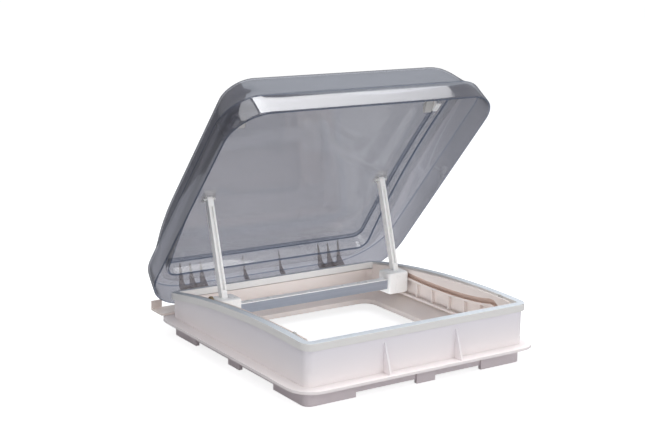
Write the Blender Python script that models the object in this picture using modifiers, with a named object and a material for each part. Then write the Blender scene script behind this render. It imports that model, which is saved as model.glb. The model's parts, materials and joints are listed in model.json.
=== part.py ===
"""Roof vent cover for a caravan: a square roof frame, a smoke acrylic lid and the linkage that lifts it.

The lid turns on two hinges behind the frame. Two struts hang from it, and their feet carry a lift bar that
slides along curved tracks inside the frame. The model is in metres, +Z up, with the lid open and the frame's
skirt on z = 0.
"""

from math import cos, radians, sin, sqrt

import bmesh
import bpy
from mathutils import Matrix, Vector

MM = 0.001
GAP = 0.3 * MM
FAR = 400 * MM

# Driving dimensions. The frame's centre is at x = 0, y = 0 before the whole model is shifted by FRAME_Y.
FRAME_Y = -19.43 * MM          # puts the centre of the whole box on y = 0

WALL = 199.5 * MM               # half the outside width of the frame wall
WALL_THICKNESS = 3 * MM
WALL_RADIUS = 12 * MM
FLANGE = 220 * MM               # half the outside width of the roof flange
FLANGE_RADIUS = 38 * MM
FLANGE_BOTTOM = 25 * MM
FLANGE_TOP = 29.3 * MM
TAB = 198 * MM                  # half the width over the skirt tabs, which fit a 400 mm roof cut-out
SKIRT = 194.5 * MM              # half the width of the skirt between its tabs
SKIRT_BOTTOM = 6 * MM
SKIRT_THICKNESS = 3 * MM
GUSSET_X = 65.5 * MM
GUSSET_HEIGHT = 46 * MM
GUSSET_THICKNESS = 3.4 * MM

RIM_TOP = 96.3 * MM             # highest line of the seal round the rim
RIM_CREST_Y = -110 * MM
RIM_ARCH_RADIUS = 1805 * MM
SEAL_OUTER = 204 * MM
SEAL_INNER = 191.5 * MM
SEAL_HEIGHT = 11.5 * MM
SEAL_CAP = 5 * MM               # seal above the wall's top edge

OPENING = 157 * MM              # half the clear roof opening, side to side
OPENING_Y = 150 * MM
LEDGE_LOW = 20 * MM
LEDGE_HIGH = 33 * MM
INNER_WALL = 192 * MM
INNER_THICKNESS = 2.2 * MM
POCKET_RIBS_Y = (54, 13, -31, -71, -110)
POCKET_LOW = 41 * MM            # sill of the pocket under the track

RAIL_FACE = 184.5 * MM          # inner face of the side rails
RAIL_BACK = 191.2 * MM
RAIL_LIP = 2 * MM
RAIL_END = 179 * MM
TRACK_WIDTH = 8 * MM
TRACK_DEPTH = 5 * MM
TRACK_LIP = 4 * MM
STOP_Y = -152 * MM
STOP_TOP = 97 * MM

HINGE_Y = 222 * MM
HINGE_Z = 46 * MM
LID_OPEN = 49.64                # degrees between the closed and the modelled pose
STRUT_TOP = (136 * MM, 231 * MM)      # y, z of the strut's top pin with the lid open
STRUT_FOOT = (89 * MM, 78 * MM)       # y, z of the strut's foot pin with the lid open
STRUT_X = 166 * MM
STRUT_RATIO = 1.36              # turn of the struts for each turn of the lid, the other way
SLIDER_DROP = 3 * MM            # the slider pin is this far below the foot pin
PATH_STEPS = 12

LID_RIM_Z = 45.0 * MM           # the closed lid's rim
LID_FRONT = -240.5 * MM
DOME_THICKNESS = 3 * MM
PANE_THICKNESS = 3 * MM
PANE_GAP = 1.5 * MM
PANE_REAR = 443                 # rear edge of the pane's flange, in millimetres behind the lid's front rim
TRAY_SAG = 0.16                 # fall of the pane's tray away from the rim's crest, per metre squared

BAR_HALF = 142 * MM
BAR_Y = (76 * MM, 90 * MM)
BAR_Z = (56 * MM, 73 * MM)
CAP_X = (142.5 * MM, 182.5 * MM)
CAP_Y = (71 * MM, 105 * MM)
CAP_Z = (46 * MM, 84 * MM)

RIB_X = (118 * MM, 138 * MM, 158 * MM)      # the lid's rear ribs, whose lower ends are the hinge knuckles
SINGLE_RIB_X = 36 * MM
SLOPE_CORNER_X = 133 * MM       # where the lid's rear slope starts to turn into its corner
SLOPE_CORNER_RADIUS = 88        # in millimetres
RIB_HALF = 3.5 * MM
EAR_X = (128 * MM, 148 * MM)    # the bracket's ears, between the knuckles
EAR_HALF = 2 * MM
EYE_RADIUS = 4.2 * MM
HINGE_HOLE = 2.3 * MM
HINGE_PIN = 2 * MM
BRACKET_X = (124 * MM, 215 * MM)
BRACKET_Y = (206 * MM, 244 * MM)
BRACKET_TOP = FLANGE_TOP + 3.6 * MM

CORNER_STEPS = 5
SIDE_STEPS = 8

for old in list(bpy.data.objects):
    bpy.data.objects.remove(old, do_unlink=True)

PARTS = bpy.data.collections.new("roof_vent_cover")
CUTTERS = bpy.data.collections.new("cutters")
for collection in (PARTS, CUTTERS):
    bpy.context.scene.collection.children.link(collection)


# ---------------------------------------------------------------- materials

def material(name, colour, roughness, metallic=0.0, alpha=1.0):
    made = bpy.data.materials.new(name)
    made.use_nodes = True
    shader = made.node_tree.nodes["Principled BSDF"]
    shader.inputs["Base Color"].default_value = (*colour, 1.0)
    shader.inputs["Roughness"].default_value = roughness
    shader.inputs["Metallic"].default_value = metallic
    shader.inputs["Alpha"].default_value = alpha
    return made


WHITE_SHELL = material("white_shell", (0.78, 0.74, 0.77), 0.35)
CREAM_LINER = material("cream_liner", (0.76, 0.65, 0.60), 0.4)
SEAL_GREY = material("seal_grey", (0.66, 0.68, 0.70), 0.55)
BRIGHT_WHITE = material("bright_white", (0.88, 0.87, 0.86), 0.3)
BEIGE = material("beige", (0.70, 0.56, 0.48), 0.45)
SMOKE = material("smoke_acrylic", (0.16, 0.17, 0.20), 0.08, alpha=0.55)
SMOKE_PANE = material("smoke_pane", (0.30, 0.31, 0.34), 0.08, alpha=0.4)
CLEAR = material("clear_acrylic", (0.80, 0.82, 0.84), 0.08, alpha=0.4)
SATIN_ALUMINIUM = material("satin_aluminium", (0.56, 0.60, 0.66), 0.35, metallic=0.8)
STEEL = material("steel", (0.60, 0.60, 0.62), 0.3, metallic=1.0)


# ---------------------------------------------------------------- axes

def axis_empty(name, y, z, parent=None, turn=0.0):
    """Empty on a joint's axis, which the pieces that turn about it are parented to."""
    empty = bpy.data.objects.new(name, None)
    PARTS.objects.link(empty)
    empty.empty_display_size = 20 * MM
    empty.location = (0, y, z)
    empty.rotation_euler = (radians(turn), 0, 0)
    empty.parent = parent
    return empty


ASSEMBLY = axis_empty("assembly_origin", FRAME_Y, 0)
LID_AXIS = axis_empty("lid_axis", HINGE_Y, HINGE_Z, ASSEMBLY, -LID_OPEN)
STRUT_AXIS = axis_empty("strut_axis", *STRUT_TOP, ASSEMBLY)
BAR_AXIS = axis_empty("bar_axis", *STRUT_FOOT, ASSEMBLY)


def attach(piece, axis):
    """Hangs a piece, and the tools its modifiers use, on an empty without moving its shape."""
    shift = Matrix.Translation(-axis.location) if axis is not ASSEMBLY else Matrix.Identity(4)
    piece.data.transform(shift)
    piece.parent = axis
    for modifier in piece.modifiers:
        if modifier.type == "BOOLEAN" and modifier.object.parent is None:
            attach(modifier.object, axis)


# ---------------------------------------------------------------- modelling helpers

def add_object(name, mesh):
    made = bpy.data.objects.new(name, mesh)
    PARTS.objects.link(made)
    return made


def mesh_from(name, builder):
    shape = bmesh.new()
    builder(shape)
    mesh = bpy.data.meshes.new(name)
    shape.to_mesh(mesh)
    shape.free()
    return add_object(name, mesh)


def box(name, low, high):
    centre = (Vector(low) + Vector(high)) / 2
    size = Vector(high) - Vector(low)
    place = Matrix.Translation(centre) @ Matrix.Diagonal((*size, 1))
    return mesh_from(name, lambda shape: bmesh.ops.create_cube(shape, size=1, matrix=place))


def side_box(name, side, x_range, y_range, z_range):
    """Box given for the right-hand side, put on the side asked for."""
    xs = sorted(side * x for x in x_range)
    return box(name, (xs[0], y_range[0], z_range[0]), (xs[1], y_range[1], z_range[1]))


def side_span(side, middle, half):
    """Range in x about a middle given for the right-hand side."""
    return sorted((side * (middle - half), side * (middle + half)))


def rod(name, x_range, y, z, radius, segments=16):
    """Round bar along X."""
    middle = sum(x_range) / 2
    length = abs(x_range[1] - x_range[0])
    place = Matrix.Translation((middle, y, z)) @ Matrix.Rotation(radians(90), 4, "Y")
    return mesh_from(name, lambda shape: bmesh.ops.create_cone(
        shape, cap_ends=True, segments=segments, radius1=radius, radius2=radius, depth=length, matrix=place))


def outline_solid(name, outlines, thickness, placement):
    """Flat outlines filled, given a thickness, made a mesh and put in place."""
    curve = bpy.data.curves.new(name, "CURVE")
    curve.dimensions = "2D"
    curve.fill_mode = "BOTH"
    curve.extrude = thickness / 2
    for outline in outlines:
        spline = curve.splines.new("POLY")
        spline.points.add(len(outline) - 1)
        spline.use_cyclic_u = True
        for point, (u, v) in zip(spline.points, outline):
            point.co = (u, v, 0, 1)
    guide = add_object(name + "_outline", curve)
    mesh = bpy.data.meshes.new_from_object(guide.evaluated_get(bpy.context.evaluated_depsgraph_get()))
    bpy.data.objects.remove(guide)
    shape = bmesh.new()
    shape.from_mesh(mesh)
    bmesh.ops.remove_doubles(shape, verts=shape.verts, dist=0.01 * MM)
    bmesh.ops.recalc_face_normals(shape, faces=shape.faces)
    shape.to_mesh(mesh)
    shape.free()
    mesh.materials.clear()
    mesh.transform(placement)
    return add_object(name, mesh)


def slab_z(name, outlines, z_low, z_high):
    """Outlines drawn in plan, extruded upwards."""
    return outline_solid(name, outlines, z_high - z_low, Matrix.Translation((0, 0, (z_low + z_high) / 2)))


def slab_y(name, outline, y_range):
    """Outline drawn in front view as (x, z), extruded along Y."""
    to_front_view = Matrix(((1, 0, 0, 0), (0, 0, -1, 0), (0, 1, 0, 0), (0, 0, 0, 1)))
    middle = Matrix.Translation((0, sum(y_range) / 2, 0))
    return outline_solid(name, [outline], abs(y_range[1] - y_range[0]), middle @ to_front_view)


def slab_x(name, outline, x_range):
    """Outline drawn in side view as (y, z), extruded along X."""
    to_side_view = Matrix(((0, 0, 1, 0), (1, 0, 0, 0), (0, 1, 0, 0), (0, 0, 0, 1)))
    middle = Matrix.Translation((sum(x_range) / 2, 0, 0))
    return outline_solid(name, [outline], abs(x_range[1] - x_range[0]), middle @ to_side_view)


def as_tool(tool):
    tool.hide_render = True
    tool.display_type = "WIRE"
    PARTS.objects.unlink(tool)
    CUTTERS.objects.link(tool)


def combine(piece, tool, operation):
    modifier = piece.modifiers.new(operation.lower(), "BOOLEAN")
    modifier.operation = operation
    modifier.solver = "EXACT"
    modifier.object = tool
    if tool.name in PARTS.objects:
        as_tool(tool)
    return piece


def cut(piece, tool):
    return combine(piece, tool, "DIFFERENCE")


def join(piece, tool):
    return combine(piece, tool, "UNION")


def keep(piece, tool):
    return combine(piece, tool, "INTERSECT")


def soften(piece, width, segments=2, angle=50):
    modifier = piece.modifiers.new("soften", "BEVEL")
    modifier.width = width
    modifier.segments = segments
    modifier.limit_method = "ANGLE"
    modifier.angle_limit = radians(angle)
    return piece


def finish(piece, look, axis, smooth_angle=35):
    piece.data.materials.append(look)
    piece.data.shade_smooth()
    piece.data.set_sharp_from_angle(angle=radians(smooth_angle))
    attach(piece, axis)
    return piece


def rounded_rectangle(half_x, y_front, y_rear, r_front, r_rear, side_steps=1):
    """Points round a rounded rectangle in plan, anticlockwise from the front right-hand corner."""
    corners = (
        (half_x - r_front, y_front + r_front, r_front, -90),
        (half_x - r_rear, y_rear - r_rear, r_rear, 0),
        (-half_x + r_rear, y_rear - r_rear, r_rear, 90),
        (-half_x + r_front, y_front + r_front, r_front, 180),
    )
    arcs = []
    for x, y, radius, start in corners:
        angles = [radians(start + 90 * step / CORNER_STEPS) for step in range(CORNER_STEPS + 1)]
        arcs.append([Vector((x + radius * cos(a), y + radius * sin(a))) for a in angles])
    points = []
    for index, arc in enumerate(arcs):
        following = arcs[(index + 1) % len(arcs)][0]
        points += arc
        points += [arc[-1].lerp(following, step / side_steps) for step in range(1, side_steps)]
    return points


def square(half, radius):
    return rounded_rectangle(half, -half, half, radius, radius)


def square_ring(name, outer, outer_radius, inner, z_low, z_high):
    inner_radius = max(outer_radius - (outer - inner), 2 * MM)
    return slab_z(name, [square(outer, outer_radius), square(inner, inner_radius)], z_low, z_high)


def ring(half_x, y_front, y_rear, r_front, r_rear, height):
    """Closed loop of a shell: a rounded rectangle whose height is a number or a function of y."""
    plan = rounded_rectangle(half_x, y_front, y_rear, r_front, r_rear, SIDE_STEPS)
    return [(x, y, height(y) if callable(height) else height) for x, y in plan]


def loft_shell(name, rings, thickness, crown=None, offset=-1):
    """Open skin through rings of equal counts, with an optional crown point, and Solidify for its wall."""
    def build(shape):
        rows = [[shape.verts.new(point) for point in points] for points in rings]
        count = len(rows[0])
        for lower, upper in zip(rows, rows[1:]):
            for i in range(count):
                j = (i + 1) % count
                shape.faces.new((lower[i], lower[j], upper[j], upper[i]))
        if crown:
            tip = shape.verts.new(crown)
            for i in range(count):
                shape.faces.new((rows[-1][i], rows[-1][(i + 1) % count], tip))
    shell = mesh_from(name, build)
    wall = shell.modifiers.new("wall", "SOLIDIFY")
    wall.thickness = thickness
    wall.offset = offset
    wall.use_even_offset = True
    return shell


# ---------------------------------------------------------------- curves that several pieces share

def rim(y):
    """Height of the top of the seal along the frame's sides."""
    return RIM_TOP - (RIM_ARCH_RADIUS - sqrt(RIM_ARCH_RADIUS ** 2 - (y - RIM_CREST_Y) ** 2))


def arch_outline(offset_top, offset_bottom, y_low=-FAR, y_high=FAR, steps=24):
    """Side-view band between two lines that follow the rim; a bottom of None reaches far below."""
    ys = [y_low + (y_high - y_low) * step / steps for step in range(steps + 1)]
    top = [(y, rim(y) + offset_top) for y in ys]
    if offset_bottom is None:
        return top + [(y_high, -FAR), (y_low, -FAR)]
    return top + [(y, rim(y) + offset_bottom) for y in reversed(ys)]


def turned(point, centre, degrees):
    """(y, z) turned about a centre, positive from +Y to +Z."""
    y, z = point[0] - centre[0], point[1] - centre[1]
    c, s = cos(radians(degrees)), sin(radians(degrees))
    return (centre[0] + y * c - z * s, centre[1] + y * s + z * c)


def foot_at(angle):
    """Strut foot with the lid closed by an angle from the open pose."""
    top = turned(STRUT_TOP, (HINGE_Y, HINGE_Z), angle)
    foot = turned(STRUT_FOOT, STRUT_TOP, -STRUT_RATIO * angle)
    return (top[0] + foot[0] - STRUT_TOP[0], top[1] + foot[1] - STRUT_TOP[1])


def closed(point):
    """(y, z) of a lid point as it lies when the lid is shut."""
    return turned(point, (HINGE_Y, HINGE_Z), LID_OPEN)


def track_line():
    """Centre line of the track: the slider pin's path, a short run behind it and a locking hook in front."""
    feet = [foot_at(LID_OPEN * step / PATH_STEPS) for step in range(PATH_STEPS + 1)]
    line = [(y, z - SLIDER_DROP) for y, z in feet]
    last = Vector(line[-1])
    line += [tuple(last + Vector(step)) for step in ((-9 * MM, 0), (-16 * MM, -4 * MM), (-21 * MM, -11 * MM))]
    first, second = Vector(line[0]), Vector(line[1])
    behind = first + (first - second).normalized() * 8 * MM
    return [tuple(behind)] + line


def offset_line(line, distance):
    """Polyline moved sideways, to its left as it runs."""
    moved = []
    for i, point in enumerate(line):
        before, after = Vector(line[max(i - 1, 0)]), Vector(line[min(i + 1, len(line) - 1)])
        along = (after - before).normalized()
        moved.append((point[0] - along.y * distance, point[1] + along.x * distance))
    return moved


def stroke(line, width):
    return offset_line(line, width / 2) + list(reversed(offset_line(line, -width / 2)))


def lower_lip():
    """Edge of the rail under the track, from the rear forwards."""
    return offset_line(track_line(), TRACK_WIDTH / 2 + TRACK_LIP)


def lower_lip_height(y):
    line = lower_lip()
    spans = [pair for pair in zip(line, line[1:]) if pair[1][0] <= y <= pair[0][0]]
    (y_rear, z_rear), (y_front, z_front) = spans[0]
    return z_rear + (z_front - z_rear) * (y - y_rear) / (y_front - y_rear)


def lid_y(u):
    return LID_FRONT + u * MM


def lid_z(n):
    return LID_RIM_Z + n * MM


# ---------------------------------------------------------------- frame

def make_base_frame():
    """White shell: wall, roof flange, skirt with its tabs, and gussets at the front."""
    wall_inner = WALL - WALL_THICKNESS
    skirt_inner = SKIRT - SKIRT_THICKNESS
    frame = square_ring("base_frame", WALL, WALL_RADIUS, wall_inner, FLANGE_BOTTOM, RIM_TOP + SEAL_CAP)
    keep(frame, slab_x("wall_arch", arch_outline(-SEAL_CAP - GAP, None), (-FAR, FAR)))
    join(frame, square_ring("flange", FLANGE, FLANGE_RADIUS, skirt_inner, FLANGE_BOTTOM, FLANGE_TOP))
    join(frame, square_ring("skirt", SKIRT, WALL_RADIUS, skirt_inner, SKIRT_BOTTOM, FLANGE_TOP - MM))
    tabs = square_ring("tabs", TAB, WALL_RADIUS, skirt_inner + 0.4 * MM, 0, FLANGE_TOP - 2 * MM)
    for low, high in ((-113, -4), (30, 118)):
        cut(tabs, box("tab_notch_x", (low * MM, -FAR, -MM), (high * MM, FAR, FLANGE_TOP)))
    for low, high in ((-111, -13.5), (19.6, 121)):
        cut(tabs, box("tab_notch_y", (-FAR, low * MM, -MM), (FAR, high * MM, FLANGE_TOP)))
    join(frame, tabs)
    low = FLANGE_TOP - MM
    inside = -WALL + MM
    gusset = [(inside, low), (-FLANGE + 3 * MM, low), (-WALL - 1.5 * MM, low + GUSSET_HEIGHT),
              (inside, low + GUSSET_HEIGHT)]
    for side in (-1, 1):
        x = side * GUSSET_X
        join(frame, slab_x("gusset", gusset, (x - GUSSET_THICKNESS / 2, x + GUSSET_THICKNESS / 2)))
    finish(frame, WHITE_SHELL, ASSEMBLY)


def make_rim_seal():
    """Soft strip pressed over the wall's top edge."""
    radius = WALL_RADIUS + SEAL_OUTER - WALL
    seal = square_ring("rim_seal", SEAL_OUTER, radius, SEAL_INNER, SKIRT_BOTTOM, RIM_TOP + SEAL_CAP)
    keep(seal, slab_x("seal_band", arch_outline(0, -SEAL_HEIGHT), (-FAR, FAR)))
    soften(seal, 2.4 * MM)
    slot_inner = WALL - WALL_THICKNESS - GAP
    slot = square_ring("seal_slot", WALL + GAP, WALL_RADIUS + GAP, slot_inner, 0, RIM_TOP + SEAL_CAP)
    keep(slot, slab_x("slot_arch", arch_outline(-SEAL_CAP, None), (-FAR, FAR)))
    cut(seal, slot)
    finish(seal, SEAL_GREY, ASSEMBLY)


def make_inner_frame():
    """Cream liner: the roof opening's edge, a sloping ledge, and the inner wall with its pocket ribs."""
    opening = 22 * MM
    rings = [
        ring(OPENING, -OPENING_Y, OPENING_Y, opening, opening, 12 * MM),
        ring(OPENING, -OPENING_Y, OPENING_Y, opening, opening, LEDGE_LOW),
        ring(INNER_WALL - 5 * MM, -INNER_WALL + 5 * MM, INNER_WALL - 5 * MM, 14 * MM, 14 * MM, LEDGE_HIGH),
        ring(INNER_WALL, -INNER_WALL, INNER_WALL, 12 * MM, 12 * MM, LEDGE_HIGH + 3 * MM),
        ring(INNER_WALL, -INNER_WALL, INNER_WALL, 12 * MM, 12 * MM, lambda y: rim(y) - SEAL_HEIGHT - MM),
    ]
    inner = loft_shell("inner_frame", rings, INNER_THICKNESS, offset=1)
    for side in (-1, 1):
        for y in POCKET_RIBS_Y:
            rib = side_box("pocket_rib", side, (186 * MM, INNER_WALL + MM), ((y - 1.3) * MM, (y + 1.3) * MM),
                           (POCKET_LOW + MM, lower_lip_height(y * MM) - 1.5 * MM))
            join(inner, rib)
    finish(inner, CREAM_LINER, ASSEMBLY)


def make_rail(side, word):
    """Side rail: a plate that follows the rim, with the slider track, a pocket below it and a thin top lip."""
    low = POCKET_LOW - 4 * MM
    profile = arch_outline(-2 * MM, None, -RAIL_END, RAIL_END)[:-2] + [(RAIL_END, low), (-RAIL_END, low)]
    rail = slab_x("guide_rail_" + word, profile, sorted((side * RAIL_FACE, side * RAIL_BACK)))
    track = stroke(track_line(), TRACK_WIDTH)
    cut(rail, slab_x("track", track, sorted((side * (RAIL_FACE - MM), side * (RAIL_FACE + TRACK_DEPTH)))))
    lip = lower_lip()
    window = lip + [(lip[-1][0] + 4 * MM, POCKET_LOW), (lip[0][0], POCKET_LOW)]
    cut(rail, slab_x("pocket", window, sorted((side * (RAIL_FACE - MM), side * (RAIL_BACK + MM)))))
    shoulder = arch_outline(5 * MM, -8 * MM)
    cut(rail, slab_x("shoulder", shoulder, sorted((side * (RAIL_FACE + RAIL_LIP), side * (RAIL_BACK + MM)))))
    finish(rail, CREAM_LINER, ASSEMBLY)


def make_stop(side, word):
    """Stop on the rail's shoulder, which the lid's corner block comes down on."""
    base = rim(STOP_Y) - 8 * MM + GAP
    stop = side_box("lid_stop_" + word, side, (187 * MM, 191.1 * MM), (STOP_Y - 6 * MM, STOP_Y + 6 * MM),
                    (base, base + 4 * MM))
    join(stop, side_box("stop_nose", side, (187.6 * MM, 190.6 * MM), (STOP_Y - 4 * MM, STOP_Y + 2 * MM),
                        (base + 3 * MM, STOP_TOP)))
    finish(stop, CLEAR, ASSEMBLY)


# ---------------------------------------------------------------- hinges

def eye_arc(start, stop):
    """Points round the hinge eye between two angles in degrees, 0 towards the rear."""
    angles = [radians(angle) for angle in range(start, stop + 1, 30)]
    return [(HINGE_Y + EYE_RADIUS * cos(a), HINGE_Z + EYE_RADIUS * sin(a)) for a in angles]


def make_hinge(side, word):
    """Bracket on the rear flange with two ears, and the pin through them."""
    bracket = side_box("hinge_bracket_" + word, side, BRACKET_X, BRACKET_Y, (FLANGE_TOP + GAP, BRACKET_TOP))
    join(bracket, side_box("bracket_back", side, (BRACKET_X[1] - 19 * MM, BRACKET_X[1]),
                           (BRACKET_Y[1] - 2.6 * MM, BRACKET_Y[1]), (BRACKET_TOP - MM, HINGE_Z)))
    low = BRACKET_TOP - MM
    ear = [(HINGE_Y - EYE_RADIUS - 2 * MM, low), (HINGE_Y + EYE_RADIUS - 0.8 * MM, low)] + eye_arc(0, 180)
    for x in EAR_X:
        join(bracket, slab_x("ear", ear, side_span(side, x, EAR_HALF)))
    middle = sum(EAR_X) / len(EAR_X)
    cut(bracket, rod("pin_hole", side_span(side, middle, 20 * MM), HINGE_Y, HINGE_Z, HINGE_HOLE))
    finish(bracket, BEIGE, ASSEMBLY)
    pin = rod("hinge_pin_" + word, side_span(side, middle, 25 * MM), HINGE_Y, HINGE_Z, HINGE_PIN)
    finish(pin, STEEL, ASSEMBLY)


# ---------------------------------------------------------------- lid

def make_outer_dome():
    """Smoke outer skin: an upright skirt, a crease with a ledge, an S-shaped shoulder and a low crown."""
    levels = (
        # half width, front u, rear u, front corner, rear corner, height above the rim
        (242, 0, 474, 60, 90, 0),
        (241, 1, 473, 60, 90, 18),
        (240, 2, 471, 60, 90, 35),
        (235, 5, 468, 58, 88, 38),
        (228, 9, 461, 54, 88, 47),
        (221, 13, 450, 50, 88, 60),
        (215, 18, 432, 47, 90, 74),
        (208, 25, 405, 44, 100, 87),
        (197, 36, 365, 42, 100, 95.5),
        (165, 70, 325, 50, 80, 101),
        (110, 130, 270, 40, 50, 103.5),
        (50, 180, 220, 15, 15, 104.5),
    )
    rings = []
    for half, front, rear, r_front, r_rear, n in levels:
        rings.append(ring(half * MM, lid_y(front), lid_y(rear), r_front * MM, r_rear * MM, lid_z(n)))
    dome = loft_shell("outer_dome", rings, DOME_THICKNESS, (0, lid_y(200), lid_z(104.8)))
    finish(dome, SMOKE, LID_AXIS, 60)


def flange_height(y):
    return rim(y) + PANE_GAP + PANE_THICKNESS


def tray_height(y):
    return lid_z(69.5) - TRAY_SAG * (y - RIM_CREST_Y) ** 2


def make_inner_pane():
    """Clear inner glazing: a flange that lies on the seal, a step, and a raised tray."""
    crown = 3 * MM
    rings = [
        ring(218 * MM, lid_y(19), lid_y(PANE_REAR), 45 * MM, 50 * MM, flange_height),
        ring(200 * MM, lid_y(55), lid_y(429), 20 * MM, 20 * MM, flange_height),
        ring(198 * MM, lid_y(58), lid_y(426), 18 * MM, 18 * MM, lambda y: tray_height(y) - 2 * MM),
        ring(195 * MM, lid_y(62), lid_y(422), 15 * MM, 15 * MM, tray_height),
        ring(130 * MM, lid_y(130), lid_y(357), 14 * MM, 14 * MM, lambda y: tray_height(y) + crown * 0.7),
        ring(60 * MM, lid_y(200), lid_y(287), 8 * MM, 8 * MM, lambda y: tray_height(y) + crown),
    ]
    middle = lid_y(243.5)
    pane = loft_shell("inner_pane", rings, PANE_THICKNESS, (0, middle, tray_height(middle) + crown))
    finish(pane, SMOKE_PANE, LID_AXIS, 25)


def lid_rib(name, side, middle, half, lower_end):
    """Rib against the lid's rear wall: upright up to the crease, then up the slope, tapering to a point."""
    shoulder, top = lid_z(38), lid_z(58)
    beyond = max(0, middle + half - SLOPE_CORNER_X) / MM
    inset = beyond ** 2 / (2 * SLOPE_CORNER_RADIUS)
    profile = [(457.5, 8), (457, 35), (443.5 - inset, 58), (445 - inset, 58), (452.5 - inset / 2, 46),
               (463, 33.5), (466.6, 30.5), (466.6, 8)]
    rib = slab_x(name, [(lid_y(u), lid_z(n)) for u, n in profile] + lower_end, side_span(side, middle, half))
    x, tip = side * middle, 0.7 * MM
    outer = half + MM
    right = [(outer, 0), (outer, shoulder - MM), (half - 0.1 * MM, shoulder), (tip, top + MM)]
    front = [(x + across, z) for across, z in right] + [(x - across, z) for across, z in reversed(right)]
    return keep(rib, slab_y("rib_taper", front, (lid_y(430), lid_y(480))))


def make_rear_ribs(side, word):
    """Three ribs on one web, whose lower ends are the hinge knuckles, and a thin rib nearer the middle."""
    knuckle = eye_arc(-180, 0)[::-1]
    ribs = [lid_rib("rear_ribs_" + word, side, x, RIB_HALF, knuckle) for x in RIB_X]
    web = side_box("rib_web", side, (RIB_X[0] - MM, RIB_X[-1] + MM), (lid_y(464.6), lid_y(466.4)),
                   (lid_z(8.5), lid_z(30)))
    group = ribs[0]
    for piece in ribs[1:] + [web]:
        join(group, piece)
    middle = RIB_X[1]
    cut(group, rod("knuckle_hole", side_span(side, middle, 30 * MM), HINGE_Y, HINGE_Z, HINGE_HOLE))
    finish(group, SMOKE, LID_AXIS)
    finish(lid_rib("rear_rib_single_" + word, side, SINGLE_RIB_X, 1.5 * MM, []), SMOKE, LID_AXIS)


def make_strut_bracket(side, word):
    """Two clear A-shaped cheeks on a base plate, cemented under the pane, that hold the strut's top pin."""
    y, z = closed(STRUT_TOP)
    top = tray_height(y + 18 * MM) - PANE_THICKNESS - 0.8 * MM
    x_low, x_high = STRUT_X - 10.5 * MM, STRUT_X + 10.5 * MM
    base = side_box("strut_bracket_" + word, side, (x_low, x_high), (y - 16 * MM, y + 16 * MM),
                    (top - 1.8 * MM, top))
    cheek = [(y - 14 * MM, top - MM)]
    cheek += [(y + 4.5 * MM * cos(radians(a)), z + 4.5 * MM * sin(radians(a))) for a in range(200, 341, 35)]
    cheek += [(y + 14 * MM, top - MM)]
    for x in (x_low + MM, x_high - 3 * MM):
        join(base, slab_x("cheek", cheek, sorted((side * x, side * (x + 2 * MM)))))
    cut(base, rod("cheek_hole", sorted((side * (x_low - MM), side * (x_high + MM))), y, z, 2.3 * MM))
    finish(base, CLEAR, LID_AXIS)
    pin = rod("strut_top_pin_" + word, side_span(side, STRUT_X, 11 * MM), y, z, 2 * MM, 12)
    finish(pin, BRIGHT_WHITE, LID_AXIS)


BLOCK_Y = -156 * MM             # middle of the lid's corner blocks, over the stops on the rails


def make_corner_block(side, word):
    """White block with an open window under the pane's front corner, and the curved wing beside it."""
    top = tray_height(BLOCK_Y - 9 * MM) - PANE_THICKNESS - 1.2 * MM
    low = STOP_TOP + 1.2 * MM
    block = side_box("corner_block_" + word, side, (182.3 * MM, 191.3 * MM),
                     (BLOCK_Y - 9 * MM, BLOCK_Y + 9 * MM), (low, top))
    soften(block, 0.8 * MM)
    cut(block, side_box("block_window", side, (184.4 * MM, 189.2 * MM), (BLOCK_Y - 12 * MM, BLOCK_Y + 12 * MM),
                        (low + 3 * MM, top - 2.5 * MM)))
    finish(block, BRIGHT_WHITE, LID_AXIS)
    wing = [(BLOCK_Y - 8 * MM, top), (BLOCK_Y - 8 * MM, top - 3 * MM), (BLOCK_Y - 2 * MM, top - 6 * MM),
            (BLOCK_Y + 8 * MM, low + 2 * MM), (BLOCK_Y + 12 * MM, low + MM), (BLOCK_Y + 14 * MM, low + 4 * MM),
            (BLOCK_Y + 8 * MM, low + 9 * MM), (BLOCK_Y + 2 * MM, top)]
    piece = slab_x("corner_wing_" + word, wing, sorted((side * 167 * MM, side * 182 * MM)))
    finish(soften(piece, 0.8 * MM), CLEAR, LID_AXIS)


# ---------------------------------------------------------------- struts and lift bar

def make_strut(side, word):
    """Tapered channel with an eye at each end."""
    foot, top = Vector(STRUT_FOOT), Vector(STRUT_TOP)
    along = (top - foot).normalized()
    across = Vector((-along.y, along.x))
    outline = []
    for centre, direction, radius in ((foot, -along, 5.5 * MM), (top, along, 4.5 * MM)):
        sign = 1 if direction == along else -1
        for step in range(-3, 4):
            angle = radians(30 * step)
            sideways = across * sign * radius * sin(angle)
            outline.append(tuple(centre + direction * radius * cos(angle) - sideways))
    strut = slab_x("strut_" + word, outline, side_span(side, STRUT_X, 5 * MM))
    groove_low, groove_high = foot + along * 16 * MM, top - along * 12 * MM
    front = across * 9 * MM
    depth = across * 1.6 * MM
    groove = [tuple(corner) for corner in (groove_low + depth, groove_low + front, groove_high + front,
                                           groove_high + depth)]
    cut(strut, slab_x("channel", groove, side_span(side, STRUT_X, 2 * MM)))
    for end, radius in ((foot, 2.8), (top, 2.3)):
        cut(strut, rod("eye", side_span(side, STRUT_X, FAR / 8), end.x, end.y, radius * MM, 12))
    finish(strut, BRIGHT_WHITE, STRUT_AXIS)


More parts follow.
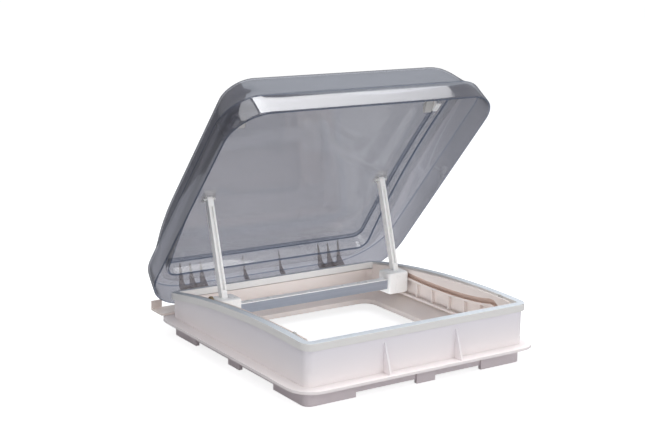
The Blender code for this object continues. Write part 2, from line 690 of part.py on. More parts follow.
def make_end_cap(side, word):
    """Moulded cap on the bar's end, with a slot for the strut's foot and a blind socket for the bar."""
    cap = side_box("end_cap_" + word, side, CAP_X, CAP_Y, CAP_Z)
    soften(cap, 5 * MM, 2)
    slot = side_box("foot_slot", side, (STRUT_X - 5.6 * MM, STRUT_X + 5.6 * MM),
                    (STRUT_FOOT[0] - 7 * MM, FAR), (STRUT_FOOT[1] - 8 * MM, FAR))
    cut(cap, slot)
    cut(cap, rod("foot_pin_hole", sorted((side * 150 * MM, side * 178 * MM)), *STRUT_FOOT, 2.8 * MM, 12))
    y, z = STRUT_FOOT[0], STRUT_FOOT[1] - SLIDER_DROP
    cut(cap, rod("slider_hole", sorted((side * 180 * MM, side * 190 * MM)), y, z, 2.8 * MM, 12))
    finish(cap, BRIGHT_WHITE, BAR_AXIS)
    pin = rod("foot_pin_" + word, sorted((side * 151 * MM, side * 177 * MM)), *STRUT_FOOT, 2.4 * MM, 12)
    finish(pin, STEEL, BAR_AXIS)
    slider = rod("slider_pin_" + word, sorted((side * 180.6 * MM, side * 188.6 * MM)), y, z, 2.5 * MM, 12)
    finish(slider, BRIGHT_WHITE, BAR_AXIS)


def make_lift_bar():
    """Extruded aluminium bar, a hollow rectangle with rounded edges."""
    bar = box("lift_bar", (-BAR_HALF, BAR_Y[0], BAR_Z[0]), (BAR_HALF, BAR_Y[1], BAR_Z[1]))
    soften(bar, 1.2 * MM, 2)
    wall = 1.6 * MM
    low, high = (BAR_Y[0] + wall, BAR_Z[0] + wall), (BAR_Y[1] - wall, BAR_Z[1] - wall)
    cut(bar, box("bar_bore", (-FAR, *low), (FAR, *high)))
    finish(bar, SATIN_ALUMINIUM, BAR_AXIS)


make_base_frame()
make_rim_seal()
make_inner_frame()
make_outer_dome()
make_inner_pane()
make_lift_bar()
for hand, hand_word in ((-1, "left"), (1, "right")):
    make_rail(hand, hand_word)
    make_stop(hand, hand_word)
    make_hinge(hand, hand_word)
    make_rear_ribs(hand, hand_word)
    make_strut_bracket(hand, hand_word)
    make_corner_block(hand, hand_word)
    make_strut(hand, hand_word)
    make_end_cap(hand, hand_word)
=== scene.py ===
"""Looks of the roof vent cover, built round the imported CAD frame. Metres, +Z up, lid open at rest."""

import json
from math import cos, pi, radians, sin, sqrt

import bmesh
import bpy
from mathutils import Matrix, Vector


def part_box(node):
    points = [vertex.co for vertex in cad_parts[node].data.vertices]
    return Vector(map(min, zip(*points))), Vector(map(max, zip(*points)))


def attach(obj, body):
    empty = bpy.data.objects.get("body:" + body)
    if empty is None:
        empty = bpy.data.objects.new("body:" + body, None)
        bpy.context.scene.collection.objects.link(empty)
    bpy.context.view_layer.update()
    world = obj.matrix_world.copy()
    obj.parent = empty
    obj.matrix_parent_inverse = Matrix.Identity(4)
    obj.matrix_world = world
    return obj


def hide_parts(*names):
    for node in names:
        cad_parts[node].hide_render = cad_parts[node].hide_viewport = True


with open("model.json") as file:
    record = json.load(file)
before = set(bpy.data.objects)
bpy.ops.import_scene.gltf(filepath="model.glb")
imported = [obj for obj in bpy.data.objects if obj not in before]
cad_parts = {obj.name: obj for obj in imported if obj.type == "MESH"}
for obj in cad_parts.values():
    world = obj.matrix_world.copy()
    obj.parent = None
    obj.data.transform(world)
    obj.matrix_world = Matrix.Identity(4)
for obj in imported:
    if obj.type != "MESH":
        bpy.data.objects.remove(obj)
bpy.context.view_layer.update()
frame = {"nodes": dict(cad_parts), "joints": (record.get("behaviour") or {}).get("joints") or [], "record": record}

MM = 0.001
JOINTS = {joint["name"]: joint for joint in frame["joints"]}
HINGE = Vector(JOINTS["lid_hinge"]["pos_m"])
LID_OPEN = JOINTS["lid_hinge"]["range_deg"][1]
BODY_OF = {node: body for body, nodes in frame["record"]["behaviour"]["bodies"].items() for node in nodes}
FRAME_Y = HINGE.y - 222 * MM            # the frame's centre, which lies 222 mm in front of the hinges

# Lid, in millimetres from its front rim (u) and above its rim (n), as it lies when it is shut.
LID_RIM_Z = HINGE.z - 1 * MM
LID_FRONT = HINGE.y - 462.5 * MM
LID_WALL = 3                            # thickness of both acrylic skins
RIM_TOP, RIM_CREST_U, RIM_ARCH_RADIUS = 51.3, 130.5, 1805       # the seal's arched top
TRAY_TOP, TRAY_CURVE = 69.5, 0.00016    # the pane's raised middle, which sinks with the square of u
CORNER_STEPS = 14
SIDE_STEPS = 16

# Heights of the white shell where its colour changes; below the flange it is darkened as painted shade.
SKIRT_TOP, FLANGE_LOW = 22 * MM, 25 * MM
WALL_LOW, WALL_HIGH = 29 * MM, 88 * MM

# The smoked skin is darker near its rim: more of its tint covers what is behind from the rim up to the first
# distance below, and it has its plain share from the second on. Both are distances along the axis below, which
# leans back from the lid's height.
DARKEST_TO, PLAIN_FROM = 65 * MM, 120 * MM
DARKENING_LEAN = 0.25
ACRYLIC_IOR = 1.5

GROOVE_DEPTH = 5 * MM                   # of the rails' slider tracks
TOUCH = 0.05 * MM                       # two depths closer than this are the same
WELD = 0.005 * MM                       # corners closer than this are the same
BAR_HIGHLIGHT_DEPTH = 1.5 * MM                    # depth of the painted highlight, in white, along the lift bar's top

BUMPER_RADIUS, BUMPER_WIDTH, BUMPER_X = 7 * MM, 4 * MM, 189 * MM
BUMPER_RISE = 4 * MM                    # its axis above its flat foot
BUMPER_GAP = 0.1 * MM                   # its foot above the rail
SHOULDER_DROP = 8                       # the rail's shoulder below the seal's top, in the lid's millimetres


def shut_to_rest(point):
    """A point of the shut lid, moved to where it is with the lid open."""
    y, z = point[1] - HINGE.y, point[2] - HINGE.z
    c, s = cos(radians(LID_OPEN)), sin(radians(LID_OPEN))
    return Vector((point[0], HINGE.y + y * c + z * s, HINGE.z - y * s + z * c))


LID_UP = shut_to_rest((0, 0, 1)) - shut_to_rest((0, 0, 0))
LID_BACK = shut_to_rest((0, 1, 0)) - shut_to_rest((0, 0, 0))
DARKENING_AXIS = LID_UP + DARKENING_LEAN * LID_BACK


# ---------------------------------------------------------------- camera, floor and light

CAMERA_PLACE = (-1.18137, -1.71436, 0.68040)
CAMERA_AZIMUTH, CAMERA_ELEVATION, CAMERA_ROLL = radians(-33.88), radians(12.73), radians(1.05)
SENSOR_WIDTH, FOCAL_LENGTH = 36, 76.143
FLOOR_GLOW = 0.80
FLOOR_SIZE, FLOOR_GAP = 60, 0.3 * MM    # the floor lies a hair below the part


def camera_turn(azimuth, elevation, roll):
    """Rotation of a camera that looks from an azimuth and an elevation, with a small roll."""
    back = Vector((sin(azimuth) * cos(elevation), -cos(azimuth) * cos(elevation), sin(elevation)))
    level = Vector((cos(azimuth), sin(azimuth), 0))
    upright = back.cross(level)
    right = cos(roll) * level + sin(roll) * upright
    up = cos(roll) * upright - sin(roll) * level
    return Matrix((right, up, back)).transposed()


def make_camera():
    """Camera at the photograph's place and angle."""
    data = bpy.data.cameras.new("camera")
    data.sensor_width = SENSOR_WIDTH
    data.lens = FOCAL_LENGTH
    camera = bpy.data.objects.new("camera", data)
    turn = camera_turn(CAMERA_AZIMUTH, CAMERA_ELEVATION, CAMERA_ROLL)
    camera.matrix_world = Matrix.Translation(CAMERA_PLACE) @ turn.to_4x4()
    bpy.context.scene.collection.objects.link(camera)
    bpy.context.scene.camera = camera


def area_light(name, place, target, size, radiance, colour=(1, 1, 1), fade=None, mirrored=True):
    """Rectangular soft light aimed at a point, with its brightness as seen from the front.

    A fade is the share of that brightness at the light's two ends along its width. A light that isn't
    mirrored doesn't show as a patch in glossy surfaces.
    """
    data = bpy.data.lights.new(name, "AREA")
    data.shape = "RECTANGLE"
    data.size, data.size_y = size
    data.energy = radiance * pi * size[0] * size[1]
    data.color = colour
    light = bpy.data.objects.new(name, data)
    light.location = place
    light.rotation_euler = (Vector(target) - Vector(place)).to_track_quat("-Z", "Y").to_euler()
    light.visible_camera = False
    light.visible_glossy = mirrored
    if fade:
        data.use_nodes = True
        tree = data.node_tree
        across = tree.nodes.new("ShaderNodeNewGeometry")
        split = tree.nodes.new("ShaderNodeSeparateXYZ")
        share = tree.nodes.new("ShaderNodeMapRange")
        share.inputs["To Min"].default_value, share.inputs["To Max"].default_value = fade
        tree.links.new(across.outputs["Parametric"], split.inputs["Vector"])
        tree.links.new(split.outputs["X"], share.inputs["Value"])
        tree.links.new(share.outputs["Result"], tree.nodes["Emission"].inputs["Strength"])
    bpy.context.scene.collection.objects.link(light)


def make_world(seen, from_left, from_right):
    """White studio surround: seen is its brightness to the eye, and it lights from the left and the right."""
    world = bpy.data.worlds.new("studio")
    bpy.context.scene.world = world
    world.use_nodes = True
    nodes, links = world.node_tree.nodes, world.node_tree.links
    background = nodes["Background"]
    place = nodes.new("ShaderNodeTexCoord")
    split = nodes.new("ShaderNodeSeparateXYZ")
    links.new(place.outputs["Generated"], split.inputs["Vector"])
    side = nodes.new("ShaderNodeMapRange")
    limits = {"From Min": -0.7, "From Max": 0.7, "To Min": from_left, "To Max": from_right}
    for name, value in limits.items():
        side.inputs[name].default_value = value
    links.new(split.outputs["X"], side.inputs["Value"])
    path = nodes.new("ShaderNodeLightPath")
    strength = nodes.new("ShaderNodeMapRange")
    strength.inputs["To Max"].default_value = seen
    links.new(side.outputs["Result"], strength.inputs["To Min"])
    links.new(path.outputs["Is Camera Ray"], strength.inputs["Value"])
    links.new(strength.outputs["Result"], background.inputs["Strength"])
    background.inputs["Color"].default_value = (1, 1, 1, 1)


def make_floor():
    """Pale floor that glows to the eye, so that it meets the white surround without a horizon."""
    bpy.ops.mesh.primitive_plane_add(size=FLOOR_SIZE, location=(0, 0, -FLOOR_GAP))
    floor = bpy.context.object
    floor.name = "floor"
    look = bpy.data.materials.new("floor_white")
    look.use_nodes = True
    nodes, links = look.node_tree.nodes, look.node_tree.links
    shader = nodes["Principled BSDF"]
    shader.inputs["Base Color"].default_value = (0.50, 0.50, 0.51, 1)
    shader.inputs["Roughness"].default_value = 0.9
    shader.inputs["Specular IOR Level"].default_value = 0.1
    shader.inputs["Emission Color"].default_value = (1, 1, 1, 1)
    path = nodes.new("ShaderNodeLightPath")
    glow = nodes.new("ShaderNodeMath")
    glow.operation = "MULTIPLY"
    glow.inputs[1].default_value = FLOOR_GLOW
    links.new(path.outputs["Is Camera Ray"], glow.inputs[0])
    links.new(glow.outputs["Value"], shader.inputs["Emission Strength"])
    floor.data.materials.append(look)


make_camera()
make_world(1.0, 0.24, 0.62)
make_floor()
area_light("key", (0.9, -3.2, 1.5), (0, 0, 0.12), (2.2, 1.6), 2.35)
area_light("front_fill", (-1.9, -1.7, 0.9), (0, 0, 0.1), (1.8, 1.8), 1.25)
area_light("room_glow", (0, FRAME_Y, 4 * MM), (0, FRAME_Y, 1), (0.27, 0.25), 1.6, mirrored=False)
area_light("floor_left", (-0.95, 0.95, 5 * MM), (-0.95, 0.95, 1), (1.2, 1.4), 0.42, (0.86, 0.89, 1.0))
area_light("top_softbox", (0.50, -0.10, 1.62), (0.50, -0.10, 0), (1.26, 0.55), 6.5, fade=(1.45, 0.45))
area_light("left_softbox", (-0.78, -0.02, 1.62), (-0.78, -0.02, 0), (1.10, 0.70), 2.4)
area_light("back_softbox", (1.3, 1.5, 1.9), (0, 0, 0.3), (2.4, 2.2), 0.95, (0.84, 0.92, 1.0))
bpy.context.scene.view_settings.view_transform = "Standard"


# ---------------------------------------------------------------- materials

def node(tree, kind, **values):
    """Shader node with its inputs set by name."""
    made = tree.nodes.new(kind)
    for name, value in values.items():
        made.inputs[name.replace("_", " ")].default_value = value
    return made


def noise(tree, scale, detail=3.0, roughness=0.55, stretch=(1, 1, 1)):
    """Fine pattern over the piece in its own metres."""
    place = tree.nodes.new("ShaderNodeTexCoord")
    mapping = tree.nodes.new("ShaderNodeMapping")
    mapping.inputs["Scale"].default_value = stretch
    pattern = node(tree, "ShaderNodeTexNoise", Scale=scale, Detail=detail, Roughness=roughness)
    tree.links.new(place.outputs["Object"], mapping.inputs["Vector"])
    tree.links.new(mapping.outputs["Vector"], pattern.inputs["Vector"])
    return pattern.outputs["Fac"]


def ramp(tree, value, low, high, start=0.0, stop=1.0):
    """Value mapped from start..stop to low..high, numbers or colours."""
    if isinstance(low, tuple):
        made = tree.nodes.new("ShaderNodeValToRGB")
        made.color_ramp.elements[0].position, made.color_ramp.elements[1].position = start, stop
        made.color_ramp.elements[0].color, made.color_ramp.elements[1].color = (*low, 1), (*high, 1)
        tree.links.new(value, made.inputs["Fac"])
        return made.outputs["Color"]
    made = tree.nodes.new("ShaderNodeMapRange")
    for name, number in (("From Min", start), ("From Max", stop), ("To Min", low), ("To Max", high)):
        made.inputs[name].default_value = number
    tree.links.new(value, made.inputs["Value"])
    return made.outputs["Result"]


def bump(tree, height, distance, strength=1.0):
    """Surface relief from a pattern, as a normal."""
    made = node(tree, "ShaderNodeBump", Distance=distance, Strength=strength)
    tree.links.new(height, made.inputs["Height"])
    return made.outputs["Normal"]


def start_material(name):
    """New node material, its tree and its main shader."""
    made = bpy.data.materials.new(name)
    made.use_nodes = True
    tree = made.node_tree
    return made, tree, tree.nodes["Principled BSDF"]


def axis_z(tree, source):
    """Z of a geometry output, such as the position or the true normal."""
    place = tree.nodes.new("ShaderNodeNewGeometry")
    split = tree.nodes.new("ShaderNodeSeparateXYZ")
    tree.links.new(place.outputs[source], split.inputs["Vector"])
    return split.outputs["Z"]


def moulded(name, low, high, roughness, grain=900, relief=0.012, metallic=0.0, cloud=9, scatter=0.0):
    """Moulded plastic or metal: a slow colour drift, an uneven gloss and a fine surface grain."""
    made, tree, shader = start_material(name)
    tree.links.new(ramp(tree, noise(tree, cloud), low, high, 0.3, 0.7), shader.inputs["Base Color"])
    gloss = ramp(tree, noise(tree, 60, 4), roughness - 0.06, roughness + 0.06, 0.3, 0.7)
    tree.links.new(gloss, shader.inputs["Roughness"])
    tree.links.new(bump(tree, noise(tree, grain, 2), relief * MM), shader.inputs["Normal"])
    shader.inputs["Metallic"].default_value = metallic
    shader.inputs["Subsurface Weight"].default_value = scatter
    shader.inputs["Subsurface Radius"].default_value = (4 * MM, 3 * MM, 2.5 * MM)
    return made


def shell_white():
    """White shell: cool towards the rim, a touch of pink towards the flange, and painted shade, darker and greyer,
    on the skirt.
    """
    made, tree, shader = start_material("shell_white")
    z = axis_z(tree, "Position")
    height = ramp(tree, z, 0.0, 1.0, WALL_LOW, WALL_HIGH)
    warm_low = ramp(tree, height, (0.96, 0.90, 0.90), (0.83, 0.81, 0.87))
    # Painted shade: the skirt below the flange is multiplied darker and greyer.
    painted_skirt_shade = ramp(tree, z, (0.79, 0.76, 0.79), (1, 1, 1), SKIRT_TOP, FLANGE_LOW)
    mixed = tree.nodes.new("ShaderNodeMix")
    mixed.data_type = "RGBA"
    mixed.blend_type = "MULTIPLY"
    mixed.inputs["Factor"].default_value = 1.0
    tree.links.new(warm_low, mixed.inputs["A"])
    tree.links.new(painted_skirt_shade, mixed.inputs["B"])
    tree.links.new(mixed.outputs["Result"], shader.inputs["Base Color"])
    tree.links.new(ramp(tree, noise(tree, 60, 4), 0.30, 0.42, 0.3, 0.7), shader.inputs["Roughness"])
    tree.links.new(bump(tree, noise(tree, 1100, 2), 0.010 * MM), shader.inputs["Normal"])
    return made


def seal_white():
    """Milky seal, painted darker and bluer where it faces up: painted shade and a painted cool reflection on its
    top.
    """
    made, tree, shader = start_material("seal_milky")
    facing_up = axis_z(tree, "True Normal")
    # Painted shade and reflection: faces that point up get a darker, bluer colour.
    colour = ramp(tree, facing_up, (0.81, 0.80, 0.79), (0.56, 0.60, 0.65), 0.35, 0.95)
    tree.links.new(colour, shader.inputs["Base Color"])
    tree.links.new(ramp(tree, noise(tree, 80, 4), 0.32, 0.50, 0.3, 0.7), shader.inputs["Roughness"])
    tree.links.new(bump(tree, noise(tree, 700, 2), 0.015 * MM), shader.inputs["Normal"])
    shader.inputs["Subsurface Weight"].default_value = 0.15
    shader.inputs["Subsurface Radius"].default_value = (3 * MM, 3 * MM, 3 * MM)
    return made


def rim_darkening(tree):
    """Share from 0, on the crown, to 1, near the rim's front, where the skin is made darker."""
    place = tree.nodes.new("ShaderNodeTexCoord")
    along = tree.nodes.new("ShaderNodeVectorMath")
    along.operation = "DOT_PRODUCT"
    along.inputs[1].default_value = DARKENING_AXIS
    tree.links.new(place.outputs["Object"], along.inputs[0])
    rim = shut_to_rest((0, LID_FRONT, LID_RIM_Z)).dot(DARKENING_AXIS)
    return ramp(tree, along.outputs["Value"], 1.0, 0.0, rim + DARKEST_TO, rim + PLAIN_FROM)


def acrylic(name, tint, through, share, rim_extra=0.0, mirror=0.10, gain=1.0, roughness=0.04, wave=0.12):
    """Tinted acrylic: what is behind it shows through, less at a slant, under a clear gloss.

    share is how much of the tint covers what is behind, seen straight on. denser is what is added to it
    near the lid's rim. mirror is the strongest reflection before gain.
    """
    made, tree, shader = start_material(name)
    paler, darker = tuple(c * 1.1 for c in tint), tuple(c * 0.9 for c in tint)
    tree.links.new(ramp(tree, noise(tree, 14), darker, paler, 0.3, 0.7), shader.inputs["Base Color"])
    shader.inputs["Roughness"].default_value = 0.6
    shader.inputs["Specular IOR Level"].default_value = 0.0
    clear = tree.nodes.new("ShaderNodeBsdfTransparent")
    clear.inputs["Color"].default_value = (*through, 1)
    facing = tree.nodes.new("ShaderNodeLayerWeight")
    facing.inputs["Blend"].default_value = 0.35
    solid = ramp(tree, facing.outputs["Facing"], share, min(share + 0.75, 0.97), 0.50, 0.95)
    if rim_extra:
        deep = ramp(tree, rim_darkening(tree), 0.0, rim_extra)
        total = tree.nodes.new("ShaderNodeMath")
        total.operation = "ADD"
        total.use_clamp = True
        tree.links.new(solid, total.inputs[0])
        tree.links.new(deep, total.inputs[1])
        solid = total.outputs["Value"]
    body = tree.nodes.new("ShaderNodeMixShader")
    tree.links.new(solid, body.inputs["Fac"])
    tree.links.new(clear.outputs["BSDF"], body.inputs[1])
    tree.links.new(shader.outputs["BSDF"], body.inputs[2])
    gloss = tree.nodes.new("ShaderNodeBsdfGlossy")
    uneven = noise(tree, 25, 4, stretch=(1, 4, 1))
    blur = ramp(tree, uneven, roughness - 0.02, roughness + 0.04, 0.35, 0.7)
    tree.links.new(blur, gloss.inputs["Roughness"])
    tree.links.new(bump(tree, noise(tree, 7, 1), 0.6 * MM, wave), gloss.inputs["Normal"])
    fresnel = node(tree, "ShaderNodeFresnel", IOR=ACRYLIC_IOR)
    reflected = ramp(tree, fresnel.outputs["Fac"], 0.0, mirror * gain, 0.0, mirror)
    skin = tree.nodes.new("ShaderNodeMixShader")
    tree.links.new(reflected, skin.inputs["Fac"])
    tree.links.new(body.outputs["Shader"], skin.inputs[1])
    tree.links.new(gloss.outputs["BSDF"], skin.inputs[2])
    tree.links.new(skin.outputs["Shader"], tree.nodes["Material Output"].inputs["Surface"])
    return made


def brushed(name, low, high, roughness):
    """Satin metal with fine lines along X."""
    made, tree, shader = start_material(name)
    lines = noise(tree, 400, 3, stretch=(0.01, 1, 1))
    tree.links.new(ramp(tree, lines, low, high, 0.3, 0.7), shader.inputs["Base Color"])
    blur = ramp(tree, lines, roughness - 0.05, roughness + 0.08, 0.3, 0.7)
    tree.links.new(blur, shader.inputs["Roughness"])
    tree.links.new(bump(tree, lines, 0.01 * MM), shader.inputs["Normal"])
    shader.inputs["Metallic"].default_value = 0.85
    return made


# Darker acrylic for the lid's bends and cut rims: painted shade.
BEND_SHADE_LOOK = acrylic("acrylic_bend_shade", (0.05, 0.075, 0.13), (0.62, 0.68, 0.80), 0.50)
# Darker, browner paint for the rails' slider tracks: painted shade in the recess.
GROOVE_SHADE_LOOK = moulded("groove_painted_shade", (0.62, 0.47, 0.40), (0.70, 0.55, 0.48), 0.55)
CLIP_LOOK = acrylic("acrylic_clip", (0.80, 0.79, 0.77), (0.98, 0.98, 0.98), 0.16)
KNOB_LOOK = moulded("knob_olive", (0.20, 0.15, 0.08), (0.30, 0.23, 0.14), 0.45)
RIB_LOOK = acrylic("acrylic_rib", (0.10, 0.075, 0.07), (0.93, 0.90, 0.89), 0.30)
LOOKS = {
    "white_shell": shell_white(),
    "seal_grey": seal_white(),
    "cream_liner": moulded("liner_cream", (0.81, 0.73, 0.69), (0.86, 0.79, 0.76), 0.42, scatter=0.06),
    "bright_white": moulded("hardware_white", (0.95, 0.95, 0.94), (0.98, 0.98, 0.98), 0.30, scatter=0.05),
    "beige_plastic": moulded("bracket_beige", (0.96, 0.83, 0.77), (0.98, 0.90, 0.85), 0.45),
    "smoke_acrylic": acrylic("acrylic_smoke", (0.075, 0.077, 0.098), (0.905, 0.91, 0.955), 0.385,
                             rim_extra=0.13, gain=1.8),
    "smoke_pane": acrylic("acrylic_pane", (0.14, 0.14, 0.15), (0.99, 0.99, 0.99), 0.04, mirror=0.07),
    "clear_acrylic": acrylic("acrylic_clear", (0.72, 0.71, 0.69), (0.98, 0.98, 0.98), 0.55, roughness=0.12),
    "satin_aluminium": brushed("aluminium_satin", (0.44, 0.49, 0.58), (0.52, 0.57, 0.66), 0.46),
    "steel": moulded("steel_plain", (0.50, 0.50, 0.51), (0.60, 0.60, 0.61), 0.30, metallic=1.0),
}


# ---------------------------------------------------------------- pieces

def add_piece(name, mesh, slot, body, look=None):
    """New object in the scene with its look, riding on a body."""
    piece = bpy.data.objects.new(name, mesh)
    bpy.context.scene.collection.objects.link(piece)
    mesh.materials.append(look or LOOKS[slot])
    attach(piece, body)
    return piece


def smooth(piece, angle=35):
    """Smooth shading, with a crease at every edge sharper than the angle."""
    piece.data.shade_smooth()
    piece.data.set_sharp_from_angle(angle=radians(angle))


def take_mesh(shape, name):
    """Mesh of a shape, which is freed."""
    mesh = bpy.data.meshes.new(name)
    shape.to_mesh(mesh)
    shape.free()
    return mesh


def soften(piece, width, segments, angle, harden=False):
    """Rounded edges, wherever an edge is sharper than the angle. The width is in millimetres."""
    edges = piece.modifiers.new("soften", "BEVEL")
    edges.width = width * MM
    edges.segments = segments
    edges.limit_method = "ANGLE"
    edges.angle_limit = radians(angle)
    edges.harden_normals = harden


def rounded_copy(cad_node, name, slot, width, angle=30, look=None, painted=None):
    """Copy of a CAD node with clean flat faces and rounded edges, which replaces the node.

    painted is a second material and a test that picks the faces that have it.
    """
    shape = bmesh.new()
    shape.from_mesh(frame["nodes"][cad_node].data)
    bmesh.ops.remove_doubles(shape, verts=shape.verts, dist=WELD)
    bmesh.ops.dissolve_limit(shape, angle_limit=radians(1.0), verts=shape.verts, edges=shape.edges)
    mesh = take_mesh(shape, name)
    for attribute in ("custom_normal", "sharp_edge", "sharp_face"):
        if attribute in mesh.attributes:
            mesh.attributes.remove(mesh.attributes[attribute])
    piece = add_piece(name, mesh, slot, BODY_OF[cad_node], look)
    if painted:
        mesh.materials.append(painted[0])
        for face in mesh.polygons:
            face.material_index = int(painted[1]([mesh.vertices[i].co for i in face.vertices]))
    smooth(piece)
    if width:
        soften(piece, width, 3, angle, harden=True)
    shading = piece.modifiers.new("shading", "WEIGHTED_NORMAL")
    shading.keep_sharp = True
    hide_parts(cad_node)


def plan_ring(half, front, rear, r_front, r_rear):
    """Points round a rounded rectangle in (x, u), anticlockwise from the front right corner."""
    corners = (
        (half - r_front, front + r_front, r_front, -90),
        (half - r_rear, rear - r_rear, r_rear, 0),
        (-half + r_rear, rear - r_rear, r_rear, 90),
        (-half + r_front, front + r_front, r_front, 180),
    )
    arcs = []
    for x, u, radius, start in corners:
        turns = [radians(start + 90 * step / CORNER_STEPS) for step in range(CORNER_STEPS + 1)]
        arcs.append([Vector((x + radius * cos(a), u + radius * sin(a))) for a in turns])
    points = []
    for arc, following in zip(arcs, arcs[1:] + arcs[:1]):
        points += arc
        points += [arc[-1].lerp(following[0], step / SIDE_STEPS) for step in range(1, SIDE_STEPS)]
    return points


def lid_loft(name, levels, heights, crown, slot, shaded_rows, shaded_rim=False):
    """Acrylic shell through rings given in the lid's own millimetres, closed at the crown's (u, n).

    The wall is solid. The listed bands between rings, and the wall's cut rim when asked, take a darker acrylic as
    painted shade, for the dark look that bends have in thick acrylic.
    """
    shape = bmesh.new()
    rows = []
    for level, height in zip(levels, heights):
        row = []
        for x, u in plan_ring(*level):
            n = height(u) if callable(height) else height
            row.append(shape.verts.new(shut_to_rest((x * MM, LID_FRONT + u * MM, LID_RIM_Z + n * MM))))
        rows.append(row)
    count = len(rows[0])
    for step, (lower, upper) in enumerate(zip(rows, rows[1:])):
        for i in range(count):
            j = (i + 1) % count
            face = shape.faces.new((lower[i], lower[j], upper[j], upper[i]))
            face.material_index = int(step in shaded_rows)
    tip = shape.verts.new(shut_to_rest((0, LID_FRONT + crown[0] * MM, LID_RIM_Z + crown[1] * MM)))
    for i in range(count):
        shape.faces.new((rows[-1][i], rows[-1][(i + 1) % count], tip))
    mesh = take_mesh(shape, name)
    piece = add_piece(name, mesh, slot, "lid")
    mesh.materials.append(BEND_SHADE_LOOK)
    wall = piece.modifiers.new("wall", "SOLIDIFY")
    wall.material_offset_rim = int(shaded_rim)
    wall.thickness = LID_WALL * MM
    wall.offset = -1
    wall.use_even_offset = True
    soften(piece, 0.5, 2, 60)
    smooth(piece, 50)
    return piece


def between(levels, counts):
    """Rings between the given ones, on a smooth curve through them (Catmull-Rom), a count for each span."""
    filled = []
    for i, count in enumerate(counts):
        ends = [levels[max(i - 1, 0)], levels[i], levels[i + 1], levels[min(i + 2, len(levels) - 1)]]
        for step in range(count):
            t = step / count
            row = []
            for a, b, c, d in zip(*ends):
                row.append(0.5 * (2 * b + (c - a) * t + (2 * a - 5 * b + 4 * c - d) * t ** 2
                                  + (3 * b - a - 3 * c + d) * t ** 3))
            filled.append(tuple(row))
    return filled + [levels[-1]]


def make_dome():
    """Outer skin: an upright skirt, a crease with a narrow ledge, an S-shaped shoulder, a low crown."""
    skirt = [
        # half width, front u, rear u, front corner, rear corner, height
        (242, 0, 474, 60, 90, 0),
        (241.7, 0.3, 473.7, 60, 90, 6),
        (241, 1, 473, 60, 90, 18),
        (240.1, 1.9, 471.2, 60, 90, 33.5),
        (239.8, 2.2, 470.8, 60, 90, 35.0),
        (238.9, 2.9, 470.2, 59.5, 89.5, 36.0),
    ]
    shoulder = [
        (235.5, 4.8, 468.2, 58, 88, 38.2),
        (228, 9, 461, 54, 88, 47),
        (221, 13, 450, 50, 88, 60),
        (215, 18, 432, 47, 90, 74),
        (208, 25, 405, 44, 100, 87),
        (197, 36, 365, 42, 100, 95.5),
        (165, 70, 325, 50, 80, 101),
        (110, 130, 270, 40, 50, 103.5),
        (50, 180, 220, 15, 15, 104.5),
    ]
    levels = skirt + between(shoulder, (2, 3, 3, 3, 3, 3, 2, 2))
    plans, heights = [level[:5] for level in levels], [level[5] for level in levels]
    tip = (200, 104.8)
    # The crease's band and the cut rim get painted shade.
    dome = lid_loft("dome_skin", plans, heights, tip, "smoke_acrylic", shaded_rows=(3,), shaded_rim=True)
    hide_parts("outer_dome")


def rim_n(u):
    """Height of the seal's top above the shut lid's rim."""
    return RIM_TOP - (RIM_ARCH_RADIUS - sqrt(RIM_ARCH_RADIUS ** 2 - (u - RIM_CREST_U) ** 2))


def tray_n(u):
    """Height of the pane's raised tray above the shut lid's rim, along the tray's edge."""
    return TRAY_TOP - TRAY_CURVE * (u - RIM_CREST_U) ** 2


def make_pane():
    """Inner glazing: a flange above the seal, a step with fine ridges, and a raised, crowned tray."""
    crown, above_seal = 3, 4.5
    rings = (
        ((218, 19, 443, 45, 50), lambda u: rim_n(u) + above_seal),
        ((204, 47, 433, 26, 26), lambda u: rim_n(u) + above_seal),
        ((201, 53.5, 430, 21, 21), lambda u: rim_n(u) + above_seal),
        ((200.2, 54.8, 429.2, 20, 20), lambda u: rim_n(u) + 5.1),
        ((198.4, 57.4, 426.6, 18.4, 18.4), lambda u: tray_n(u) - 3.5),
        ((197.5, 58.7, 425.2, 17.5, 17.5), lambda u: tray_n(u) - 1.3),
        ((195.4, 61.6, 422.5, 15.4, 15.4), lambda u: tray_n(u) - 0.1),
        ((193, 64, 420, 15, 15), tray_n),
        ((130, 130, 357, 14, 14), lambda u: tray_n(u) + crown * 0.7),
        ((60, 200, 287, 8, 8), lambda u: tray_n(u) + crown),
    )
    plans, heights = [plan for plan, _ in rings], [height for _, height in rings]
    middle = 243.5
    tip = (middle, tray_n(middle) + crown)
    # The step's bands get painted shade.
    pane = lid_loft("pane_glazing", plans, heights, tip, "smoke_pane", shaded_rows=(2, 4, 6))
    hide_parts("inner_pane")


GROOVE_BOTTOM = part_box("guide_rail_right")[0][0] + GROOVE_DEPTH
BAR_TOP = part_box("lift_bar")[1][2]
BUMPER_Y = (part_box("end_cap_left")[0][1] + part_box("end_cap_left")[1][1]) / 2


def in_groove(corners):
    """True for the slider track's floor and its two edges, which reach just as deep as the floor and take painted
    shade.
    """
    return abs(max(abs(corner.x) for corner in corners) - GROOVE_BOTTOM) < TOUCH


def on_bar_top(corners):
    """True for the lift bar's top face and what lies just below it, which take white paint as a painted highlight.
    """
    return min(corner.z for corner in corners) > BAR_TOP - BAR_HIGHLIGHT_DEPTH


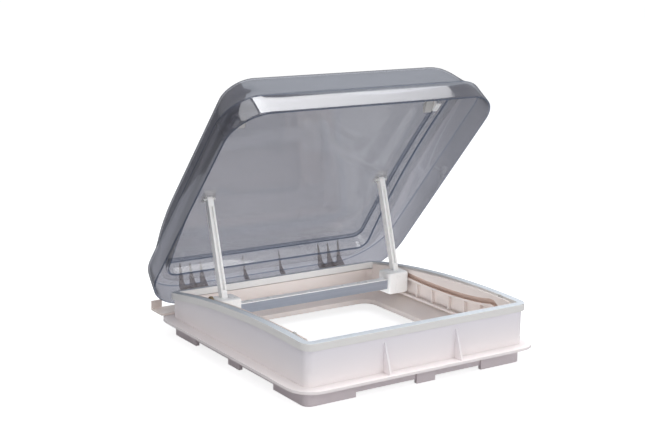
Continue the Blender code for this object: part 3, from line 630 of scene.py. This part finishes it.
def make_bumper():
    """Round knob with a flat foot on the left rail's shoulder, beside the lift bar's end."""
    shape = bmesh.new()
    turn = Matrix.Rotation(radians(90), 4, "Y")
    bmesh.ops.create_cone(shape, cap_ends=True, segments=40, radius1=BUMPER_RADIUS, radius2=BUMPER_RADIUS,
                          depth=BUMPER_WIDTH, matrix=turn)
    whole = shape.verts[:] + shape.edges[:] + shape.faces[:]
    cut = bmesh.ops.bisect_plane(shape, geom=whole, plane_co=(0, 0, -BUMPER_RISE), plane_no=(0, 0, 1),
                                 clear_inner=True)
    rims = [item for item in cut["geom_cut"] if isinstance(item, bmesh.types.BMEdge)]
    bmesh.ops.contextual_create(shape, geom=rims)
    bmesh.ops.recalc_face_normals(shape, faces=shape.faces)
    mesh = take_mesh(shape, "bumper")
    u = (BUMPER_Y - LID_FRONT) / MM
    shoulder = LID_RIM_Z + (rim_n(u) - SHOULDER_DROP) * MM
    mesh.transform(Matrix.Translation((-BUMPER_X, BUMPER_Y, shoulder + BUMPER_RISE + BUMPER_GAP)))
    piece = add_piece("rail_bumper", mesh, "beige_plastic", "frame", KNOB_LOOK)
    smooth(piece, 40)
    soften(piece, 0.8, 3, 40)


make_dome()
make_pane()
make_bumper()
rounded_copy("base_frame", "frame_shell", "white_shell", 0.7)
rounded_copy("rim_seal", "seal_strip", "seal_grey", 0)
rounded_copy("inner_frame", "liner", "cream_liner", 0.5, angle=40)
# The lift bar's top gets white paint as a painted highlight.
rounded_copy("lift_bar", "bar_extrusion", "satin_aluminium", 0, painted=(LOOKS["bright_white"], on_bar_top))
for side in ("left", "right"):
    # The slider tracks get painted shade.
    rounded_copy(f"guide_rail_{side}", f"rail_{side}", "cream_liner", 0.4, angle=50,
                 painted=(GROOVE_SHADE_LOOK, in_groove))
    rounded_copy(f"lid_stop_{side}", f"stop_{side}", "clear_acrylic", 0.5)
    rounded_copy(f"hinge_bracket_{side}", f"bracket_{side}", "beige_plastic", 0.6)
    rounded_copy(f"hinge_pin_{side}", f"hinge_rod_{side}", "steel", 0.4, angle=60)
    rounded_copy(f"rear_ribs_{side}", f"knuckle_ribs_{side}", "smoke_acrylic", 0.3, angle=50, look=RIB_LOOK)
    rounded_copy(f"rear_rib_single_{side}", f"thin_rib_{side}", "smoke_acrylic", 0.3, angle=50,
                 look=RIB_LOOK)
    rounded_copy(f"strut_bracket_{side}", f"strut_clip_{side}", "clear_acrylic", 0.3, angle=50,
                 look=CLIP_LOOK)
    rounded_copy(f"strut_top_pin_{side}", f"strut_pin_{side}", "bright_white", 0.4, angle=60)
    rounded_copy(f"corner_block_{side}", f"block_{side}", "bright_white", 0.3, angle=50)
    rounded_copy(f"corner_wing_{side}", f"wing_{side}", "clear_acrylic", 0.3, angle=50)
    rounded_copy(f"strut_{side}", f"strut_arm_{side}", "bright_white", 0.5, angle=50)
    rounded_copy(f"end_cap_{side}", f"bar_cap_{side}", "bright_white", 1.2, angle=25)
    rounded_copy(f"foot_pin_{side}", f"foot_rod_{side}", "steel", 0.3, angle=60)
    rounded_copy(f"slider_pin_{side}", f"slider_{side}", "bright_white", 0.4, angle=60)
